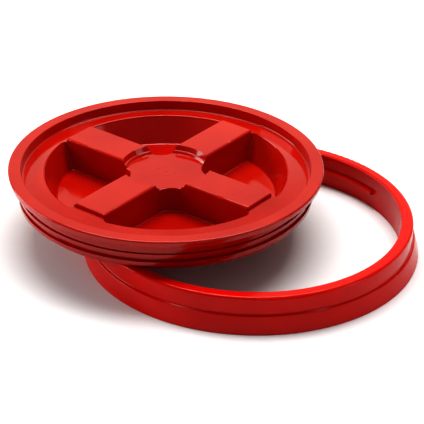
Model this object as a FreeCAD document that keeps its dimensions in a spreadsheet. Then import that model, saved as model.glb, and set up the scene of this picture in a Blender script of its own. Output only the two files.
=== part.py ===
import FreeCAD, Part
import math
import os

import Sketcher

# Screw-on lid for a 12-inch fermenting pail: an adapter ring that snaps over the pail's rim,
# and a threaded lid that lies loose across the ring, as it does when the pail is being filled.
# Frame: the ring's axis is Z, z = 0 is the plane that the ring stands on, millimetres throughout.

RIM_STEPS = 4  # flats that make up a rounded rim
SPILL = 0.5  # how far a cut runs past the face that it opens, millimetres
LONG_EDGE = 50  # the rib edges along a pocket are longer than this, millimetres

DIMENSIONS = {
    # adapter ring
    "ring_height": 35.5,
    "ring_foot_radius": 162.7,
    "ring_step_radius": 158.2,
    "ring_step_height": 17.1,
    "ring_collar_radius": 155.9,
    "ring_bore_radius": 145.7,
    "ring_lip_radius": 144.5,
    "ring_lip_depth": 2.5,
    "ring_seat_radius": 146.3,
    "ring_seat_depth": 0.6,
    "ring_wall": 2.6,
    "ring_top_round": 2.6,
    "ring_step_bevel": 1.1,
    "ring_step_lead": 0.3,
    "ring_step_round": 0.7,
    "ring_seat_round": 0.35,
    "ring_foot_gap": 0.5,
    "rim_radius": 152.6,
    "rim_bead": 1.0,
    "rim_bead_height": 17.9,
    # thread, right-handed, one start
    "thread_pitch": 8.0,
    "thread_root_sink": 0.8,
    "ring_thread_crest_radius": 142.1,
    "ring_thread_crest_width": 3.4,
    "ring_thread_base_width": 5.0,
    "ring_thread_height": 16.5,
    "ring_thread_start": 32.4,
    "ring_thread_turns": 0.8,
    "lid_thread_crest_radius": 143.8,
    "lid_thread_crest_width": 3.4,
    "lid_thread_base_width": 5.0,
    "lid_thread_root_radius": 141.0,
    "lid_thread_height": 3.9,
    "lid_thread_turns": 1.6,
    "lid_thread_start": 160.0,
    "thread_stop_angle": 70.0,
    # screw lid
    "lid_height": 35.5,
    "lid_lip_radius": 153.5,
    "lid_lip_bottom": 29.0,
    "lid_lip_lean": 1.2,
    "lid_lip_wall": 2.9,
    "lid_lip_round": 1.6,
    "lid_seal_seat": 1.5,
    "lid_neck_radius": 142.4,
    "lid_neck_bottom": 17.2,
    "lid_entry_radius": 138.9,
    "lid_entry_height": 3.2,
    "lid_skirt_inside_radius": 136.4,
    "lid_wall": 2.6,
    "band_inside_radius": 140.9,
    "band_edge_round": 0.8,
    "band_foot_round": 1.8,
    "land_outside_radius": 140.2,
    "land_outside_height": 25.0,
    "land_inside_radius": 118.6,
    "land_inside_height": 29.4,
    "hub_height": 26.8,
    "hub_radius": 38.6,
    "hub_ledge_radius": 41.4,
    "hub_ledge_height": 29.3,
    "hub_mouth_radius": 44.0,
    "rib_height": 34.0,
    "rib_half_width": 19.0,
    "rib_foot_half_width": 19.8,
    "rib_side_round": 2.6,
    "rib_end_round": 1.4,
    "rib_end_lap": 3.0,
    "pocket_rim_round": 1.5,
    "pocket_rim_span": 68.0,
    "hub_rim_round": 0.9,
    "hub_rim_span": 70.0,
    "rib_end_radius": 113.5,
    "pocket_floor": 2.4,
    "pocket_floor_radius": 107.1,
    "pocket_hub_radius": 18.9,
    "pocket_corner_radius": 3.0,
    "pocket_floor_round": 1.8,
    # seals
    "o_ring_section": 4.0,
    "o_ring_gap": 0.15,
    "gasket_thickness": 3.0,
    "gasket_gap": 0.3,
    # where the lid lies on the ring
    "lid_x": -83.3,
    "lid_y": 31.9,
    "lid_gap": 0.2,
    "lid_turn": -37.5,
}


def make_sheet(doc):
    """The driving dimensions, one alias a row."""
    sheet = doc.addObject("Spreadsheet::Sheet", "Dims")
    for row, (alias, value) in enumerate(DIMENSIONS.items(), start=1):
        sheet.set(f"A{row}", alias)
        sheet.set(f"B{row}", str(value))
        sheet.setAlias(f"B{row}", alias)
    doc.recompute()
    return sheet


def number(obj, expression):
    """The value of an expression on the sheet, as a plain number."""
    value = obj.evalExpression(expression)
    return float(getattr(value, "Value", value))


def origin_plane(body, role):
    return next(f for f in body.Origin.OriginFeatures if f.Role == role)


def new_sketch(body, name, role, height=None, turn=None):
    """A sketch on one of the body's origin planes, lifted along Z or turned about Z."""
    sketch = body.newObject("Sketcher::SketchObject", name)
    sketch.AttachmentSupport = [(origin_plane(body, role), "")]
    sketch.MapMode = "FlatFace"
    if height:
        sketch.setExpression("AttachmentOffset.Base.z", height)
    if turn is not None:
        spin = FreeCAD.Rotation(FreeCAD.Vector(0, 1, 0), number(sketch, turn))
        sketch.AttachmentOffset = FreeCAD.Placement(FreeCAD.Vector(), spin)
        sketch.setExpression("AttachmentOffset.Rotation.Angle", f"({turn}) * 1 deg")
    return sketch


def pin_point(sketch, line, end, x, y):
    """Ties one end of a line to the place that two expressions give."""
    for kind, axis, expression in (("DistanceX", -2, x), ("DistanceY", -1, y)):
        if expression == "0":
            sketch.addConstraint(Sketcher.Constraint("PointOnObject", line, end, axis))
            continue
        value = number(sketch, expression)
        index = sketch.addConstraint(Sketcher.Constraint(kind, -1, 1, line, end, value))
        sketch.setExpression(f"Constraints[{index}]", expression)


def add_outline(sketch, corners):
    """A closed run of straight lines whose corners are pairs of expressions."""
    points = [FreeCAD.Vector(number(sketch, x), number(sketch, y), 0) for x, y in corners]
    count = len(points)
    for i in range(count):
        sketch.addGeometry(Part.LineSegment(points[i], points[(i + 1) % count]))
    for i in range(count):
        sketch.addConstraint(Sketcher.Constraint("Coincident", i, 2, (i + 1) % count, 1))
        pin_point(sketch, i, 1, *corners[i])


def revolve(body, name, corners, kind="PartDesign::Revolution"):
    """A ring or disc: the outline, in radius and height, turned about Z."""
    sketch = new_sketch(body, name + "Profile", "XZ_Plane")
    add_outline(sketch, corners)
    feature = body.newObject(kind, name)
    feature.Profile = sketch
    feature.ReferenceAxis = (sketch, ["V_Axis"])
    feature.Angle = 360
    body.Document.recompute()
    return feature


def ring_edges(shape, places):
    """Names of the circular edges about Z at the given radii and heights."""
    names = []
    for radius, height in places:
        found = [
            f"Edge{i}"
            for i, edge in enumerate(shape.Edges, start=1)
            if isinstance(edge.Curve, Part.Circle)
            and abs(edge.Curve.Radius - radius) < 0.01
            and abs(edge.Curve.Center.z - height) < 0.01
            and math.hypot(edge.Curve.Center.x, edge.Curve.Center.y) < 0.01
        ]
        if not found:
            raise RuntimeError(f"no edge at radius {radius}, height {height}")
        names += found
    return names


def round_edges(body, name, edges, alias):
    """Rounds named edges of the body's tip by a dimension on the sheet."""
    base = body.Tip
    feature = body.newObject("PartDesign::Fillet", name)
    feature.Base = (base, edges)
    feature.setExpression("Radius", "Dims." + alias)
    body.Document.recompute()
    return feature


def thread(body, name, owner, wall):
    """A helical ridge on a wall, from its root inside the wall to its crest."""
    height = f"Dims.{owner}_thread_height"
    crest = f"Dims.{owner}_thread_crest_radius"
    base = f"Dims.{owner}_thread_base_width / 2"
    top = f"Dims.{owner}_thread_crest_width / 2"
    sketch = new_sketch(body, name + "Profile", "XZ_Plane", turn=f"Dims.{owner}_thread_start")
    add_outline(
        sketch,
        [
            (wall, f"{height} - {base}"),
            (crest, f"{height} - {top}"),
            (crest, f"{height} + {top}"),
            (wall, f"{height} + {base}"),
        ],
    )
    ridge = body.newObject("PartDesign::AdditiveHelix", name)
    ridge.Profile = sketch
    ridge.ReferenceAxis = (sketch, ["V_Axis"])
    ridge.Mode = 0
    ridge.setExpression("Pitch", "Dims.thread_pitch")
    ridge.setExpression("Height", f"Dims.thread_pitch * Dims.{owner}_thread_turns")
    ridge.LeftHanded = False
    body.Document.recompute()
    return ridge


def edges_where(shape, test):
    """Names of the edges whose vertices all pass a test of radius and height."""
    names = []
    for i, edge in enumerate(shape.Edges, start=1):
        places = [(math.hypot(p.X, p.Y), p.Z) for p in edge.Vertexes]
        if places and all(test(radius, height) for radius, height in places):
            names.append(f"Edge{i}")
    if not names:
        raise RuntimeError("no edge passes the test")
    return names


def radial_stud(body, name, kind, azimuth, height, radius, near, far):
    """A round stud or hole whose axis is level and points away from Z."""
    stud = body.newObject(kind, name)
    angle = math.radians(number(stud, azimuth))
    outward = FreeCAD.Vector(math.cos(angle), math.sin(angle), 0)
    spin = FreeCAD.Rotation(FreeCAD.Vector(0, 0, 1), outward)
    stud.Placement = FreeCAD.Placement(FreeCAD.Vector(), spin)
    stud.setExpression("Placement.Base.x", f"({near}) * cos(({azimuth}) * 1 deg)")
    stud.setExpression("Placement.Base.y", f"({near}) * sin(({azimuth}) * 1 deg)")
    stud.setExpression("Placement.Base.z", height)
    stud.setExpression("Radius", radius)
    stud.setExpression("Height", f"({far}) - ({near})")
    body.Document.recompute()
    return stud


def polar(body, name, feature, count=4):
    """Repeats a feature evenly about Z."""
    pattern = body.newObject("PartDesign::PolarPattern", name)
    pattern.Originals = [feature]
    pattern.Axis = (next(f for f in body.Origin.OriginFeatures if f.Role == "Z_Axis"), [""])
    pattern.Angle = 360
    pattern.Occurrences = count
    body.Tip = pattern
    body.Document.recompute()
    return pattern


def make_ring(doc):
    """Adapter ring: threaded bore wall, top land, collar and flared skirt round a rim channel."""
    body = doc.addObject("PartDesign::Body", "AdapterRing")
    body.Label = "adapter_ring"
    height = "Dims.ring_height"
    wall = "Dims.ring_wall"
    bore = "Dims.ring_bore_radius"
    lip_bottom = f"{height} - Dims.ring_lip_depth"
    ceiling = f"{height} - {wall} - 0.2"
    bead = "Dims.rim_radius - Dims.rim_bead"
    bead_height = "Dims.rim_bead_height"
    revolve(
        body,
        "RingBlank",
        [
            (bore, "Dims.ring_foot_gap"),
            (f"{bore} + {wall}", "Dims.ring_foot_gap"),
            (f"{bore} + {wall}", ceiling),
            ("Dims.rim_radius", ceiling),
            ("Dims.rim_radius", f"{bead_height} + 2"),
            (bead, f"{bead_height} + 0.7"),
            (bead, f"{bead_height} - 0.7"),
            ("Dims.ring_step_radius - 3.1", "Dims.ring_step_height - 2.5"),
            (f"Dims.ring_foot_radius - {wall}", "0"),
            ("Dims.ring_foot_radius", "0"),
            ("Dims.ring_step_radius", "Dims.ring_step_height"),
            (
                "Dims.ring_collar_radius + Dims.ring_step_lead",
                "Dims.ring_step_height + Dims.ring_step_bevel",
            ),
            ("Dims.ring_collar_radius", height),
            ("Dims.ring_seat_radius", height),
            ("Dims.ring_seat_radius", f"{height} - Dims.ring_seat_depth"),
            ("Dims.ring_lip_radius", f"{height} - Dims.ring_seat_depth"),
            ("Dims.ring_lip_radius", lip_bottom),
            (bore, f"{lip_bottom} - 1.6"),
        ],
    )
    d = DIMENSIONS
    collar_top = [(d["ring_collar_radius"], d["ring_height"])]
    round_edges(body, "TopRound", ring_edges(body.Tip.Shape, collar_top), "ring_top_round")
    soft = [
        (d["ring_step_radius"], d["ring_step_height"]),
        (d["ring_collar_radius"] + d["ring_step_lead"], d["ring_step_height"] + d["ring_step_bevel"]),
        (d["ring_foot_radius"], 0.0),
    ]
    round_edges(body, "StepRounds", ring_edges(body.Tip.Shape, soft), "ring_step_round")
    crisp = [
        (d["ring_seat_radius"], d["ring_height"]),
        (d["ring_lip_radius"], d["ring_height"] - d["ring_seat_depth"]),
    ]
    round_edges(body, "SeatRounds", ring_edges(body.Tip.Shape, crisp), "ring_seat_round")
    thread(body, "RingThread", "ring", f"{bore} + Dims.thread_root_sink")
    radial_stud(
        body,
        "RingThreadNose",
        "PartDesign::AdditiveCylinder",
        "Dims.ring_thread_start",
        "Dims.ring_thread_height",
        "Dims.ring_thread_base_width / 2 - 0.3",
        "Dims.ring_thread_crest_radius + 0.1",
        f"{bore} + Dims.thread_root_sink",
    )
    return body


def make_gasket(doc):
    """Pail gasket: a soft ring pressed against the ceiling of the rim channel."""
    body = doc.addObject("PartDesign::Body", "PailGasket")
    body.Label = "pail_gasket"
    inside = "Dims.ring_bore_radius + Dims.ring_wall + Dims.gasket_gap"
    outside = "Dims.rim_radius - Dims.gasket_gap"
    top = "Dims.ring_height - Dims.ring_wall - 0.2"
    bottom = f"{top} - Dims.gasket_thickness"
    revolve(
        body,
        "GasketRing",
        [
            (inside, f"{bottom} + 0.8"),
            (f"{inside} + 0.9", bottom),
            (f"{outside} - 0.9", bottom),
            (outside, f"{bottom} + 0.8"),
            (outside, top),
            (inside, top),
        ],
    )
    return body


def make_o_ring(doc):
    """Lid seal: a round-section ring under the lip, round the neck of the lid."""
    seal = doc.addObject("Part::Torus", "LidORing")
    seal.Label = "lid_o_ring"
    section = "Dims.o_ring_section / 2"
    seal.setExpression("Radius2", f"{section} - Dims.o_ring_gap")
    seal.setExpression("Radius1", f"Dims.lid_neck_radius + {section}")
    seal.setExpression("Placement.Base.x", "Dims.lid_x")
    seal.setExpression("Placement.Base.y", "Dims.lid_y")
    base = "Dims.ring_height + Dims.lid_gap"
    seal.setExpression("Placement.Base.z", f"{base} + Dims.lid_lip_bottom + Dims.lid_seal_seat - {section}")
    return seal


def pocket_sketch(body, name, height, half_width, radius, hub_round, corner):
    """A quarter pocket between two ribs: an outer arc, two straight sides and three round corners."""
    sketch = new_sketch(body, name, "XY_Plane", height=height)
    w, r, h, c = (number(sketch, e) for e in (half_width, radius, hub_round, corner))
    up = FreeCAD.Vector(0, 0, 1)
    near = w + c
    far = math.sqrt((r - c) ** 2 - near**2)
    turn = math.atan2(near, far)

    def arc(x, y, size, first, last):
        circle = Part.Circle(FreeCAD.Vector(x, y, 0), up, size)
        return sketch.addGeometry(Part.ArcOfCircle(circle, first, last))

    def line(x1, y1, x2, y2):
        return sketch.addGeometry(Part.LineSegment(FreeCAD.Vector(x1, y1, 0), FreeCAD.Vector(x2, y2, 0)))

    outer = arc(0, 0, r, turn, math.pi / 2 - turn)
    left_corner = arc(near, far, c, math.pi / 2 - turn, math.pi)
    left = line(w, far, w, w + h)
    inner = arc(w + h, w + h, h, math.pi, 1.5 * math.pi)
    right = line(w + h, w, far, w)
    right_corner = arc(far, near, c, 1.5 * math.pi, 2 * math.pi + turn)
    add = sketch.addConstraint
    add(Sketcher.Constraint("Coincident", outer, 3, -1, 1))
    add(Sketcher.Constraint("Vertical", left))
    add(Sketcher.Constraint("Horizontal", right))
    run = [outer, left_corner, left, inner, right, right_corner]
    for first, second in zip(run, run[1:] + run[:1]):
        add(Sketcher.Constraint("Tangent", first, 2, second, 1))
    for constraint, expression in (
        (Sketcher.Constraint("Radius", outer, r), radius),
        (Sketcher.Constraint("Radius", inner, h), hub_round),
        (Sketcher.Constraint("Radius", left_corner, c), corner),
        (Sketcher.Constraint("Radius", right_corner, c), corner),
        (Sketcher.Constraint("DistanceX", -1, 1, left, 1, w), half_width),
        (Sketcher.Constraint("DistanceY", -1, 1, right, 2, w), half_width),
    ):
        index = add(constraint)
        sketch.setExpression(f"Constraints[{index}]", expression)
    return sketch


def pocket_loft(body, name, kind, low, high, grow="0"):
    """The pocket between two heights, grown outward by the cup's wall for its outside."""
    floor = "Dims.pocket_floor"
    taper = "(Dims.rib_foot_half_width - Dims.rib_half_width) / (Dims.rib_height - Dims.pocket_floor)"
    flare = (
        "(Dims.land_inside_radius - Dims.pocket_floor_radius)"
        " / (Dims.land_inside_height - Dims.pocket_floor)"
    )
    sketches = []
    for tag, height in (("Low", low), ("High", high)):
        half_width = f"Dims.rib_foot_half_width - ({height} - {floor}) * {taper} - {grow}"
        radius = f"Dims.pocket_floor_radius + ({height} - {floor}) * {flare} + {grow}"
        hub_round = f"Dims.pocket_hub_radius + {grow}"
        corner = f"Dims.pocket_corner_radius + {grow}"
        sketches.append(pocket_sketch(body, name + tag, height, half_width, radius, hub_round, corner))
    loft = body.newObject(kind, name)
    loft.Profile = sketches[0]
    loft.Sections = [(sketches[1], [""])]
    loft.Ruled = True
    body.Document.recompute()
    return loft


def rib_block(body, name, kind, low, high, near, far, half_width):
    """A straight bar along +X: one rib, or the hollow under it."""
    sketch = new_sketch(body, name + "Plan", "XY_Plane", height=low)
    corners = [(near, f"-({half_width})"), (far, f"-({half_width})"), (far, half_width), (near, half_width)]
    add_outline(sketch, corners)
    bar = body.newObject(kind, name)
    bar.Profile = sketch
    bar.setExpression("Length", f"({high}) - ({low})")
    bar.Reversed = kind.endswith("Pocket")
    body.Document.recompute()
    return bar


def thread_stop(body, root):
    """A plain raised face that closes the groove for a short way, with a round end."""
    height = "Dims.lid_thread_height"
    base = "Dims.lid_thread_base_width / 2"
    crest = "Dims.lid_thread_crest_radius + 0.05"
    turns = "Dims.thread_stop_angle / 360"
    sketch = new_sketch(body, "ThreadStopProfile", "XZ_Plane", turn="Dims.lid_thread_start")
    low = f"{height} - {base}"
    high = f"{height} + Dims.thread_pitch + {base}"
    add_outline(
        sketch,
        [
            (f"{root} - Dims.thread_root_sink", low),
            (crest, f"{low} + 0.8"),
            (crest, f"{high} - 0.8"),
            (f"{root} - Dims.thread_root_sink", high),
        ],
    )
    stop = body.newObject("PartDesign::AdditiveHelix", "ThreadStop")
    stop.Profile = sketch
    stop.ReferenceAxis = (sketch, ["V_Axis"])
    stop.Mode = 0
    stop.setExpression("Pitch", "Dims.thread_pitch")
    stop.setExpression("Height", f"Dims.thread_pitch * {turns}")
    body.Document.recompute()
    radial_stud(
        body,
        "ThreadStopEnd",
        "PartDesign::SubtractiveCylinder",
        "Dims.lid_thread_start + Dims.thread_stop_angle",
        f"{height} + Dims.thread_pitch * ({turns} + 0.5)",
        "(Dims.thread_pitch - Dims.lid_thread_crest_width) / 2",
        root,
        "Dims.lid_thread_crest_radius + 3",
    )


def cut_rim(body, name, centre, radius, height, size, span):
    """Rounds a curved rim over a hollow, through a span of angle, and repeats it for the four pockets.

    The rim is an arc about an upright axis on the pocket's middle line, `centre` from Z along X and Y.
    """
    away = "225" if centre != "0" else "45"
    sketch = new_sketch(body, name + "Profile", "XZ_Plane", turn=away)
    if centre != "0":
        sketch.setExpression("AttachmentOffset.Base.x", centre)
        sketch.setExpression("AttachmentOffset.Base.z", f"-({centre})")
    corners = [
        (f"{radius} - {SPILL}", f"{height} + {SPILL}"),
        (f"{radius} - {SPILL}", f"{height} - {size}"),
    ]
    for step in range(RIM_STEPS + 1):
        t = step / RIM_STEPS
        drop, run = (1 - t) ** 2, t**2
        corners.append((f"{radius} + {run} * {size}", f"{height} - {drop} * {size}"))
    corners.append((f"{radius} + {size}", f"{height} + {SPILL}"))
    add_outline(sketch, corners)
    groove = body.newObject("PartDesign::Groove", name)
    groove.Profile = sketch
    groove.ReferenceAxis = (sketch, ["V_Axis"])
    groove.Midplane = True
    groove.setExpression("Angle", f"({span}) * 1 deg")
    body.Document.recompute()
    return polar(body, name + "s", groove)


def round_lid(body):
    """Rounds the pockets, ribs and hub as a moulding is rounded."""
    d = DIMENSIONS
    floor, top = d["pocket_floor"], d["rib_height"]
    pocket_reach, rib_ends = d["land_inside_radius"], d["rib_end_radius"] - d["rib_half_width"]

    def at(height, value):
        return abs(value - height) < 0.02

    floors = edges_where(body.Tip.Shape, lambda r, z: at(floor, z) and r < pocket_reach)
    round_edges(body, "PocketFloors", floors, "pocket_floor_round")
    tops = edges_where(body.Tip.Shape, lambda r, z: at(top, z))
    lengths = {name: body.Tip.Shape.getElement(name).Length for name in tops}
    sides = [name for name in tops if lengths[name] > LONG_EDGE]
    round_edges(body, "RibSides", sides, "rib_side_round")
    ends = edges_where(body.Tip.Shape, lambda r, z: at(top, z) and r > rib_ends)
    round_edges(body, "RibEnds", ends, "rib_end_round")


def make_lid(doc):
    """Screw lid: threaded skirt, lip, sloped land, and four finger pockets that leave a cross grip."""
    body = doc.addObject("PartDesign::Body", "ScrewLid")
    body.Label = "screw_lid"
    wall = "Dims.lid_wall"
    lip = "Dims.lid_lip_radius"
    lip_wall = "Dims.lid_lip_wall"
    lip_bottom = "Dims.lid_lip_bottom"
    seal_outside = "Dims.lid_neck_radius + Dims.o_ring_section + 0.5"
    top = "Dims.lid_height"
    neck = "Dims.lid_neck_radius"
    root = "Dims.lid_thread_root_radius"
    plate_end = "Dims.rib_end_radius - Dims.rib_end_lap"
    slope = (
        "(Dims.land_inside_height - Dims.land_outside_height)"
        " / (Dims.land_outside_radius - Dims.land_inside_radius)"
    )
    revolve(
        body,
        "LidBlank",
        [
            ("Dims.lid_skirt_inside_radius", "0"),
            ("Dims.lid_entry_radius", "0"),
            (root, "Dims.lid_entry_height"),
            (root, "Dims.lid_neck_bottom - 1.4"),
            (neck, "Dims.lid_neck_bottom"),
            (neck, f"{lip_bottom} + Dims.lid_seal_seat"),
            (seal_outside, f"{lip_bottom} + Dims.lid_seal_seat"),
            (seal_outside, lip_bottom),
            (f"{seal_outside} + 1", lip_bottom),
            (f"{seal_outside} + 1", f"{top} - {lip_wall} - 0.4"),
            (f"{lip} - {lip_wall}", f"{top} - {lip_wall} - 0.4"),
            (f"{lip} - {lip_wall}", lip_bottom),
            (f"{lip} - Dims.lid_lip_lean", lip_bottom),
            (lip, top),
            ("Dims.band_inside_radius", top),
            ("Dims.land_outside_radius", "Dims.land_outside_height"),
            (plate_end, f"Dims.land_inside_height + (Dims.land_inside_radius - ({plate_end})) * {slope}"),
            (plate_end, "Dims.hub_height"),
            ("0", "Dims.hub_height"),
            ("0", f"Dims.hub_height - {wall}"),
            (plate_end, f"Dims.hub_height - {wall}"),
            ("Dims.land_inside_radius", f"Dims.land_inside_height - {wall}"),
            ("Dims.lid_skirt_inside_radius + 1.7", f"Dims.land_outside_height - {wall}"),
        ],
    )
    d = DIMENSIONS
    lip_top = [(d["lid_lip_radius"], d["lid_height"])]
    round_edges(body, "LipTop", ring_edges(body.Tip.Shape, lip_top), "lid_lip_round")
    lip_foot = (d["lid_lip_radius"] - d["lid_lip_lean"], d["lid_lip_bottom"])
    band = [(d["band_inside_radius"], d["lid_height"]), lip_foot]
    round_edges(body, "BandEdges", ring_edges(body.Tip.Shape, band), "band_edge_round")
    foot = [(d["land_outside_radius"], d["land_outside_height"])]
    round_edges(body, "BandFoot", ring_edges(body.Tip.Shape, foot), "band_foot_round")
    thread(body, "LidThread", "lid", f"{root} - Dims.thread_root_sink")
    thread_stop(body, root)
    cup = pocket_loft(body, "Cup", "PartDesign::AdditiveLoft", "0", "Dims.land_inside_height - 1.4", wall)
    polar(body, "Cups", cup)
    rib = rib_block(
        body,
        "Rib",
        "PartDesign::Pad",
        "Dims.hub_height - 1",
        "Dims.rib_height",
        "Dims.hub_radius - 8",
        "Dims.rib_end_radius",
        "Dims.rib_half_width + 1",
    )
    polar(body, "Ribs", rib)
    above = "Dims.rib_height + 2"
    pocket = pocket_loft(body, "Pocket", "PartDesign::SubtractiveLoft", "Dims.pocket_floor", above)
    polar(body, "Pockets", pocket)
    hollow = rib_block(
        body,
        "RibHollow",
        "PartDesign::Pocket",
        f"Dims.hub_height - {wall} - 1",
        f"Dims.rib_height - {wall}",
        f"Dims.hub_mouth_radius + {wall}",
        f"Dims.rib_end_radius - {wall} - 1",
        f"Dims.rib_half_width - {wall} - 0.2",
    )
    polar(body, "RibHollows", hollow)
    revolve(
        body,
        "HubRecess",
        [
            ("0", "Dims.hub_height"),
            ("Dims.hub_radius", "Dims.hub_height"),
            ("Dims.hub_ledge_radius - 1.2", "Dims.hub_ledge_height - 0.3"),
            ("Dims.hub_ledge_radius + 0.3", "Dims.hub_ledge_height"),
            ("Dims.hub_mouth_radius - 0.4", "Dims.rib_height"),
            ("Dims.hub_mouth_radius", "Dims.rib_height + 1"),
            ("0", "Dims.rib_height + 1"),
        ],
        "PartDesign::Groove",
    )
    cut_rim(
        body,
        "PocketRim",
        "0",
        "Dims.land_inside_radius",
        "Dims.land_inside_height",
        "Dims.pocket_rim_round",
        "Dims.pocket_rim_span",
    )
    cut_rim(
        body,
        "HubRim",
        "Dims.rib_half_width + Dims.pocket_hub_radius",
        "Dims.pocket_hub_radius",
        "Dims.hub_height",
        "Dims.hub_rim_round",
        "Dims.hub_rim_span",
    )
    round_lid(body)
    return body


def lie_on_ring(lid):
    """Sets the lid across the ring, as it lies when the pail is open."""
    turn = FreeCAD.Rotation(FreeCAD.Vector(0, 0, 1), number(lid, "Dims.lid_turn"))
    lid.Placement = FreeCAD.Placement(FreeCAD.Vector(), turn)
    lid.setExpression("Placement.Base.x", "Dims.lid_x")
    lid.setExpression("Placement.Base.y", "Dims.lid_y")
    lid.setExpression("Placement.Base.z", "Dims.ring_height + Dims.lid_gap")


def export(doc, objects):
    """Checks every object, then writes one STEP file a sub-part."""
    failed = [o.Name for o in doc.Objects if {"Invalid", "Error"} & set(o.State)]
    if failed:
        raise RuntimeError(f"failed objects: {failed}")
    for obj in objects:
        if obj.Shape.isNull() or not obj.Shape.isValid():
            raise RuntimeError(f"bad shape: {obj.Label}")
    os.makedirs("parts", exist_ok=True)
    for obj in objects:
        obj.Shape.exportStep(os.path.join("parts", obj.Label + ".step"))
        print(obj.Label, "solids", len(obj.Shape.Solids), "volume", round(obj.Shape.Volume))


def main():
    doc = FreeCAD.newDocument("PailLid")
    make_sheet(doc)
    ring = make_ring(doc)
    gasket = make_gasket(doc)
    seal = make_o_ring(doc)
    lid = make_lid(doc)
    doc.recompute()
    lie_on_ring(lid)
    doc.recompute()
    export(doc, [ring, gasket, seal, lid])


main()
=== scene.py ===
import math

import bmesh
import bpy
from mathutils import Matrix, Vector


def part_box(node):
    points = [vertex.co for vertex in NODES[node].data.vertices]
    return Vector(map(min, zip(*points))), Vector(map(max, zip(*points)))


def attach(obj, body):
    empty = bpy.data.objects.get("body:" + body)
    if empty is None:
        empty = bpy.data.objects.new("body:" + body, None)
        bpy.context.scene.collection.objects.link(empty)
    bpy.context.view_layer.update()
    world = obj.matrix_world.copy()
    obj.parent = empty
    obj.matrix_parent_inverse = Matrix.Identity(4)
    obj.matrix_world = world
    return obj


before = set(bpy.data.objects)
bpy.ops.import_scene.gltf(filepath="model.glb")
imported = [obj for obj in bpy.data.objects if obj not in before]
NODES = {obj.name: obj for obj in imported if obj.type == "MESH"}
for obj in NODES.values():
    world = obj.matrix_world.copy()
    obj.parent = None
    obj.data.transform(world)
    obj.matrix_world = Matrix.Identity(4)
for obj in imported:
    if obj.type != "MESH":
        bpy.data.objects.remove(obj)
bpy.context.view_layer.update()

# A glossy red pail lid with a cross grip, lying loose on its adapter ring, on a white table
# under a large overhead soft box. Metres and watts, in the ring's frame.


# ---------------------------------------------------------------- materials

# Noise patterns: scale per metre, detail and roughness.
DRIFT_NOISE = (14.0, 4.0, 0.55)
HAZE_NOISE = (55.0, 5.0, 0.6)
PEEL_NOISE = (420.0, 2.0, 0.5)
SWELL_NOISE = (38.0, 2.0, 0.45)
CLOUD_NOISE = (60.0, 4.0, 0.6)
GRAIN_NOISE = (1600.0, 2.0, 0.5)

# The part of a noise's range that a change is spread over.
DRIFT_SPAN = (0.3, 0.7)
HAZE_SPAN = (0.25, 0.75)
BLOOM_SPAN = (0.35, 0.7)
WEAR_SPAN = (0.2, 0.8)
WHOLE = (0.0, 1.0)

# Bumps: depth in metres and strength.
SWELL_BUMP = (0.0009, 0.10)
PEEL_BUMP = (0.00008, 0.12)
GRAIN_BUMP = (0.00006, 0.35)

PLASTIC_IOR = 1.4
RUBBER_IOR = 1.5
HAZE_POLISH, HAZE_DULL = 0.04, 0.07  # how far haze takes the plastic's roughness down and up
WEAR_DULL = 0.12  # how far wear takes the rubber's roughness up

# The colour sockets of a Mix node.
MIX_FIRST, MIX_SECOND, MIX_RESULT = 6, 7, 2


def new_material(name):
    """A material with an empty node tree."""
    material = bpy.data.materials.new(name)
    material.use_nodes = True
    material.node_tree.nodes.clear()
    return material


def add(tree, kind, **values):
    """A node with its input sockets set by name, an underscore standing for a space."""
    node = tree.nodes.new(kind)
    for key, value in values.items():
        node.inputs[key.replace("_", " ")].default_value = value
    return node


def surface(tree, shader):
    """Puts a shader on the material's surface."""
    out = tree.nodes.new("ShaderNodeOutputMaterial")
    tree.links.new(shader.outputs["BSDF"], out.inputs["Surface"])


def noise(tree, coords, scale, detail, roughness):
    """A noise texture over the given coordinates."""
    node = add(tree, "ShaderNodeTexNoise", Scale=scale, Detail=detail, Roughness=roughness)
    tree.links.new(coords, node.inputs["Vector"])
    return node.outputs["Fac"]


def remap(tree, value, span, target):
    """A value mapped from one range to another, and held at its ends."""
    node = add(tree, "ShaderNodeMapRange")
    tree.links.new(value, node.inputs["Value"])
    for socket, number in zip(("From Min", "From Max", "To Min", "To Max"), (*span, *target)):
        node.inputs[socket].default_value = number
    return node.outputs["Result"]


def blend_colour(tree, factor, first, second):
    """A mix of two colours."""
    node = tree.nodes.new("ShaderNodeMix")
    node.data_type = "RGBA"
    tree.links.new(factor, node.inputs["Factor"])
    for socket, colour in ((MIX_FIRST, first), (MIX_SECOND, second)):
        node.inputs[socket].default_value = (*colour, 1.0)
    return node.outputs[MIX_RESULT]


def bump(tree, height, distance, strength, below=None):
    """A bump from a height in 0 to 1, over another bump if there is one."""
    node = add(tree, "ShaderNodeBump", Strength=strength, Distance=distance)
    tree.links.new(height, node.inputs["Height"])
    if below is not None:
        tree.links.new(below, node.inputs["Normal"])
    return node.outputs["Normal"]


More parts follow.
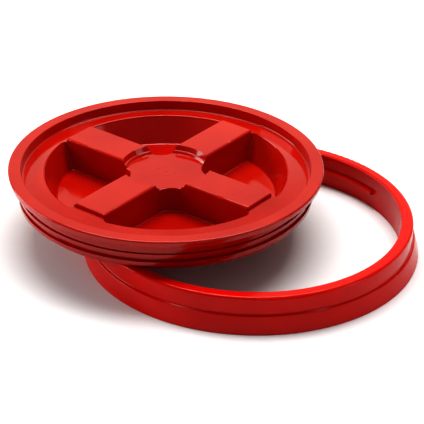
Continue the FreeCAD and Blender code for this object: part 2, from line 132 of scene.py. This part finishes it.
def red_plastic(name, base, deep, gloss, specular):
    """Glossy moulded polypropylene: slow colour drift, hazy gloss, swell and orange peel."""
    material = new_material(name)
    tree = material.node_tree
    place = tree.nodes.new("ShaderNodeTexCoord").outputs["Object"]
    shader = add(tree, "ShaderNodeBsdfPrincipled", IOR=PLASTIC_IOR, Specular_IOR_Level=specular)
    drift = remap(tree, noise(tree, place, *DRIFT_NOISE), DRIFT_SPAN, WHOLE)
    tree.links.new(blend_colour(tree, drift, deep, base), shader.inputs["Base Color"])
    rough = (gloss - HAZE_POLISH, gloss + HAZE_DULL)
    haze = remap(tree, noise(tree, place, *HAZE_NOISE), HAZE_SPAN, rough)
    tree.links.new(haze, shader.inputs["Roughness"])
    swell = bump(tree, noise(tree, place, *SWELL_NOISE), *SWELL_BUMP)
    peel = bump(tree, noise(tree, place, *PEEL_NOISE), *PEEL_BUMP, swell)
    tree.links.new(peel, shader.inputs["Normal"])
    surface(tree, shader)
    return material


def soft_rubber(name, base, worn, rough):
    """Matt seal rubber with a fine grain and a bloom of dust."""
    material = new_material(name)
    tree = material.node_tree
    place = tree.nodes.new("ShaderNodeTexCoord").outputs["Object"]
    shader = add(tree, "ShaderNodeBsdfPrincipled", IOR=RUBBER_IOR)
    cloud = noise(tree, place, *CLOUD_NOISE)
    bloom = remap(tree, cloud, BLOOM_SPAN, WHOLE)
    tree.links.new(blend_colour(tree, bloom, base, worn), shader.inputs["Base Color"])
    wear = remap(tree, cloud, WEAR_SPAN, (rough, rough + WEAR_DULL))
    tree.links.new(wear, shader.inputs["Roughness"])
    grain = bump(tree, noise(tree, place, *GRAIN_NOISE), *GRAIN_BUMP)
    tree.links.new(grain, shader.inputs["Normal"])
    surface(tree, shader)
    return material


def dress(node, material):
    """Gives a CAD node its finish."""
    mesh = NODES[node].data
    mesh.materials.clear()
    mesh.materials.append(material)


# The ring's base red is painted lighter than the lid's: painted light stands in for the floor's bounce on
# the ring's collar, and painted shade for the dimness of the lid's lip and ridges.
LID_BRIGHT, LID_DEEP = (0.47, 0.011, 0.003), (0.37, 0.004, 0.0015)
RING_BRIGHT, RING_DEEP = (0.66, 0.007, 0.002), (0.56, 0.004, 0.0015)
GASKET_CLEAN, GASKET_WORN = (0.5, 0.5, 0.48), (0.42, 0.42, 0.4)
O_RING_CLEAN, O_RING_DUSTY = (0.02, 0.02, 0.02), (0.035, 0.035, 0.035)

LID_RED = red_plastic("lid_red", LID_BRIGHT, LID_DEEP, gloss=0.09, specular=0.5)
RING_RED = red_plastic("ring_red", RING_BRIGHT, RING_DEEP, gloss=0.11, specular=0.27)
dress("screw_lid", LID_RED)
dress("adapter_ring", RING_RED)
dress("pail_gasket", soft_rubber("gasket_grey", GASKET_CLEAN, GASKET_WORN, rough=0.6))
dress("lid_o_ring", soft_rubber("o_ring_black", O_RING_CLEAN, O_RING_DUSTY, rough=0.45))


# ---------------------------------------------------------------- moulding marks

LID_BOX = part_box("screw_lid")
LID_X, LID_Y = ((low + high) / 2 for low, high in list(zip(*LID_BOX))[:2])
HUB_DEPTH = 0.0087  # the hub's face lies this far under the lid's top
HUB_PLACE = (LID_X, LID_Y, LID_BOX[1][2] - HUB_DEPTH)
RING_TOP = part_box("adapter_ring")[1][2]

# Each mark's radius and height.
GATE_PIP = (0.0014, 0.0005)
HUB_WITNESS = (0.0092, 0.00012)
RING_PIP = (0.0012, 0.0004)

PIP_SINK = 0.0004
DOME_STEPS = 5
WITNESS_SINK = 0.0003
WITNESS_HALF_WIDTH = 0.0003
WITNESS_STEPS = 6
HUB_SEGMENTS = 96
PIP_SEGMENTS = 32
MERGE_DISTANCE = 1e-7

PIP_RADIUS = 0.1505
PIP_TURN = math.radians(-4.0)
PIP_PLACE = (PIP_RADIUS * math.cos(PIP_TURN), PIP_RADIUS * math.sin(PIP_TURN), RING_TOP)


def lathe(name, outline, centre, body, material, segments):
    """A closed solid of revolution round an upright axis, from radius and height pairs."""
    mesh = bpy.data.meshes.new(name)
    shape = bmesh.new()
    x, y, foot = centre
    rows = []
    for step in range(segments):
        turn = math.tau * step / segments
        rows.append([
            shape.verts.new((x + r * math.cos(turn), y + r * math.sin(turn), foot + z))
            for r, z in outline
        ])
    for first, second in zip(rows, rows[1:] + rows[:1]):
        for i in range(len(outline)):
            j = (i + 1) % len(outline)
            if outline[i][0] or outline[j][0]:  # a side along the axis sweeps no face
                shape.faces.new((first[i], second[i], second[j], first[j]))
    bmesh.ops.remove_doubles(shape, verts=shape.verts, dist=MERGE_DISTANCE)
    bmesh.ops.recalc_face_normals(shape, faces=shape.faces)
    shape.to_mesh(mesh)
    shape.free()
    mesh.shade_smooth()
    piece = bpy.data.objects.new(name, mesh)
    bpy.context.scene.collection.objects.link(piece)
    mesh.materials.append(material)
    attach(piece, body)


def dome(radius, height):
    """The outline of a low round pip, its foot sunk into the face that it stands on."""
    turns = (math.pi / 2 * k / DOME_STEPS for k in range(DOME_STEPS))
    arc = [(radius * math.cos(t), height * math.sin(t)) for t in turns]
    return [(0.0, -PIP_SINK), (radius, -PIP_SINK)] + arc + [(0.0, height)]


def witness_line(radius, height):
    """The outline of a hair-fine raised ring."""
    turns = (math.pi * k / WITNESS_STEPS for k in range(WITNESS_STEPS + 1))
    arc = [(radius + WITNESS_HALF_WIDTH * math.cos(t), height * math.sin(t)) for t in turns]
    inner, outer = radius - WITNESS_HALF_WIDTH, radius + WITNESS_HALF_WIDTH
    return [(inner, -WITNESS_SINK), (outer, -WITNESS_SINK)] + arc


lathe("gate_pip", dome(*GATE_PIP), HUB_PLACE, "lid", LID_RED, HUB_SEGMENTS)
lathe("hub_witness", witness_line(*HUB_WITNESS), HUB_PLACE, "lid", LID_RED, HUB_SEGMENTS)
lathe("ring_pip", dome(*RING_PIP), PIP_PLACE, "ring", RING_RED, PIP_SEGMENTS)


# ---------------------------------------------------------------- stage

TABLE_HALF = 8.0
TABLE_WHITE = (0.83, 0.83, 0.83, 1)
TABLE_ROUGH = 0.6
WORLD_STRENGTH = 0.15
WHITE_LIGHT = (1.0, 1.0, 1.0)
WARM_LIGHT = (1.0, 0.93, 0.78)
LOW_AIM = (0.0, 0.0, 0.05)
HIGH_AIM = (0.0, 0.0, 0.1)

CAMERA_PLACE = (-0.0382, -1.4500, 0.8441)
CAMERA_PITCH = math.radians(29.15)  # below the horizon
CAMERA_ROLL = 0.0125
CAMERA_LENS = 146.0  # mm, as is the sensor
SENSOR_WIDTH = 36.0
CLIP_NEAR, CLIP_FAR = 0.05, 60.0


def make_floor():
    """A white table that runs well past the picture's edges."""
    half = TABLE_HALF
    corners = [(-half, -half, 0), (half, -half, 0), (half, half, 0), (-half, half, 0)]
    mesh = bpy.data.meshes.new("table")
    mesh.from_pydata(corners, [], [(0, 1, 2, 3)])
    floor = bpy.data.objects.new("table", mesh)
    bpy.context.scene.collection.objects.link(floor)
    material = new_material("table_white")
    tree = material.node_tree
    surface(tree, add(tree, "ShaderNodeBsdfPrincipled", Base_Color=TABLE_WHITE, Roughness=TABLE_ROUGH))
    mesh.materials.append(material)


def soft_box(name, place, aim, width, height, power, colour=WHITE_LIGHT):
    """A rectangular area light aimed at a point."""
    light = bpy.data.lights.new(name, "AREA")
    light.shape = "RECTANGLE"
    light.size, light.size_y, light.energy = width, height, power
    light.color = colour
    lamp = bpy.data.objects.new(name, light)
    bpy.context.scene.collection.objects.link(lamp)
    lamp.location = place
    lamp.rotation_mode = "QUATERNION"
    lamp.rotation_quaternion = (Vector(aim) - Vector(place)).to_track_quat("-Z", "Y")


def make_world():
    """A faint even white light from all round."""
    world = bpy.data.worlds.new("studio")
    bpy.context.scene.world = world
    world.use_nodes = True
    background = world.node_tree.nodes["Background"]
    background.inputs["Color"].default_value = (1, 1, 1, 1)
    background.inputs["Strength"].default_value = WORLD_STRENGTH


def make_camera():
    """The camera stands in front, looking down on the lid, with a slight roll."""
    camera = bpy.data.objects.new("camera", bpy.data.cameras.new("camera"))
    bpy.context.scene.collection.objects.link(camera)
    pitch = Matrix.Rotation(math.pi / 2 - CAMERA_PITCH, 4, "X")
    roll = Matrix.Rotation(CAMERA_ROLL, 4, "Z")
    camera.matrix_world = Matrix.Translation(CAMERA_PLACE) @ pitch @ roll
    camera.data.sensor_width = SENSOR_WIDTH
    camera.data.lens = CAMERA_LENS
    camera.data.clip_start, camera.data.clip_end = CLIP_NEAR, CLIP_FAR
    bpy.context.scene.camera = camera


make_floor()
make_world()
soft_box("overhead", place=(0.0, 0.5, 1.7), aim=LOW_AIM, width=1.7, height=0.9, power=33.0)
soft_box("back", place=(0.0, 2.3, 1.6), aim=HIGH_AIM, width=4.4, height=2.4, power=19.0, colour=WARM_LIGHT)
soft_box("left", place=(-1.7, 0.4, 0.5), aim=LOW_AIM, width=1.2, height=0.8, power=16.0)
soft_box("right", place=(1.9, -0.5, 0.5), aim=LOW_AIM, width=0.7, height=0.8, power=3.0)
make_camera()
bpy.context.scene.view_settings.view_transform = "Standard"
bpy.context.scene.view_settings.look = "High Contrast"
